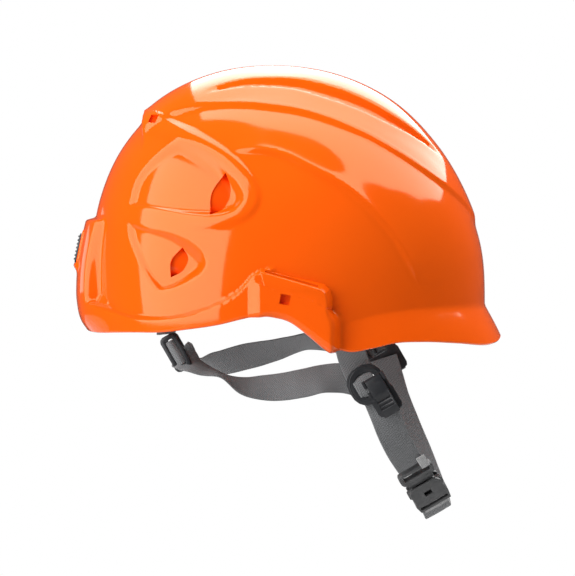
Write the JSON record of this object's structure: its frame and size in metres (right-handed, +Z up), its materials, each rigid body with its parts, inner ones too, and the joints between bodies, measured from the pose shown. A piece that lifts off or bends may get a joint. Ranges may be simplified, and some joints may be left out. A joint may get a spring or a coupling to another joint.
{
  "type": "climbing helmet",
  "caption": "Hard-shell climbing helmet with a short peak, closed side vents, foam liner, ratchet head band, strap cradle and chin strap with a side release buckle",
  "frame": {"origin": "centre of the head band's lower edge, on the helmet's middle plane", "axes": "+X the wearer's forward direction, +Y the wearer's left, +Z up"},
  "size_m": [0.2802, 0.23, 0.2982],
  "materials": {
    "shell_orange": "glossy moulded shell, bright orange",
    "liner_foam": "fine bead foam, charcoal",
    "black_plastic": "satin moulded plastic, black",
    "grey_plastic": "satin moulded plastic, dark grey",
    "grey_webbing": "woven polyester webbing, mid grey",
    "pad_fabric": "brushed knit over soft foam, near black",
    "steel": "plain steel pins, screw and spring ring"
  },
  "bodies": {
    "helmet": {"shell": "shell_orange", "foam_liner": "liner_foam", "rear_lamp_plate": "black_plastic", "head_band": "grey_plastic", "brow_pad": "pad_fabric", "crown_strap_a": "grey_webbing", "crown_strap_b": "grey_webbing", "crown_pad": "pad_fabric", "anchor_clip_front_left": "grey_plastic", "anchor_clip_front_right": "grey_plastic", "anchor_clip_rear_left": "grey_plastic", "anchor_clip_rear_right": "grey_plastic", "pivot_rivet_left": "steel", "pivot_rivet_right": "steel", "front_anchor_left": "grey_plastic", "front_anchor_right": "grey_plastic", "rear_anchor_left": "grey_plastic", "rear_anchor_right": "grey_plastic", "front_strap_left": "grey_webbing", "front_strap_right": "grey_webbing", "rear_strap_left": "grey_webbing", "rear_strap_right": "grey_webbing", "rear_tab_left": "grey_webbing", "rear_tab_right": "grey_webbing", "rear_loop_left": "black_plastic", "rear_loop_right": "black_plastic"},
    "nape_cradle": {"nape_tray": "grey_plastic", "nape_cover": "black_plastic", "nape_yoke_left": "black_plastic", "nape_yoke_right": "black_plastic", "nape_pad": "pad_fabric", "ratchet_detent_ring": "steel"},
    "ratchet_knob": {"ratchet_knob": "black_plastic", "ratchet_pinion": "grey_plastic", "knob_screw": "steel"},
    "tail_left": {"band_tail_left": "grey_plastic"},
    "tail_right": {"band_tail_right": "grey_plastic"},
    "chin_loop": {"divider_left": "black_plastic", "divider_right": "black_plastic", "lever_pin_left": "steel", "lever_pin_right": "steel", "chin_strap_right": "grey_webbing", "chin_strap_left_upper": "grey_webbing", "buckle_plug": "black_plastic"},
    "cam_lever_right": {"cam_lever_right": "black_plastic"},
    "cam_lever_left": {"cam_lever_left": "black_plastic"},
    "buckle_socket": {"buckle_socket": "black_plastic", "chin_strap_left_lower": "grey_webbing"},
    "buckle_prong_front": {"buckle_prong_front": "black_plastic"},
    "buckle_prong_back": {"buckle_prong_back": "black_plastic"}
  },
  "joints": [
    {"name": "nape_cradle_tilt", "type": "hinge", "parent": "helmet", "child": "nape_cradle", "pos_m": [-0.03, 0, 0.011], "axis": [0, 1, 0], "range_deg": [-10, 2]},
    {"name": "ratchet_knob_turn", "type": "hinge", "parent": "nape_cradle", "child": "ratchet_knob", "pos_m": [-0.0986, 0, 0.011], "axis": [1, 0, 0], "range_deg": [-250, 150]},
    {"name": "tail_left_slide", "type": "hinge", "parent": "nape_cradle", "child": "tail_left", "pos_m": [-0.012, 0, 0.011], "axis": [0, 0, 1], "range_deg": [-13.4, 8.1]},
    {"name": "tail_right_slide", "type": "hinge", "parent": "nape_cradle", "child": "tail_right", "pos_m": [-0.012, 0, 0.011], "axis": [0, 0, 1], "range_deg": [-8.1, 13.4]},
    {"name": "chin_loop_swing", "type": "hinge", "parent": "helmet", "child": "chin_loop", "pos_m": [0.06125, 0, -0.04225], "axis": [-0.0029, 0.9954, 0.0955], "range_deg": [-35, 50]},
    {"name": "cam_lever_right_open", "type": "hinge", "parent": "chin_loop", "child": "cam_lever_right", "pos_m": [0.06575, -0.0906, -0.04747], "axis": [-0.866, 0, -0.5], "range_deg": [0, 70]},
    {"name": "cam_lever_left_open", "type": "hinge", "parent": "chin_loop", "child": "cam_lever_left", "pos_m": [0.06525, 0.0906, -0.03097], "axis": [0.866, 0, 0.5], "range_deg": [0, 70]},
    {"name": "buckle_release", "type": "slide", "parent": "chin_loop", "child": "buckle_socket", "axis": [0.3562, 0.7075, -0.6104], "range_m": [0, 0.025]},
    {"name": "prong_front_squeeze", "type": "hinge", "parent": "chin_loop", "child": "buckle_prong_front", "pos_m": [0.10022, -0.04282, -0.11232], "axis": [-0.3563, 0.7065, 0.6115], "range_deg": [0, 6], "stiffness_Nm_per_rad": 0.5},
    {"name": "prong_back_squeeze", "type": "hinge", "parent": "chin_loop", "child": "buckle_prong_back", "pos_m": [0.09004, -0.04282, -0.11825], "axis": [0.3563, -0.7065, -0.6115], "range_deg": [0, 6], "stiffness_Nm_per_rad": 0.5}
  ],
  "couplings": [
    {"joint": "tail_left_slide", "follows": "ratchet_knob_turn", "ratio": 0.05294},
    {"joint": "tail_right_slide", "follows": "ratchet_knob_turn", "ratio": -0.05294}
  ]
}
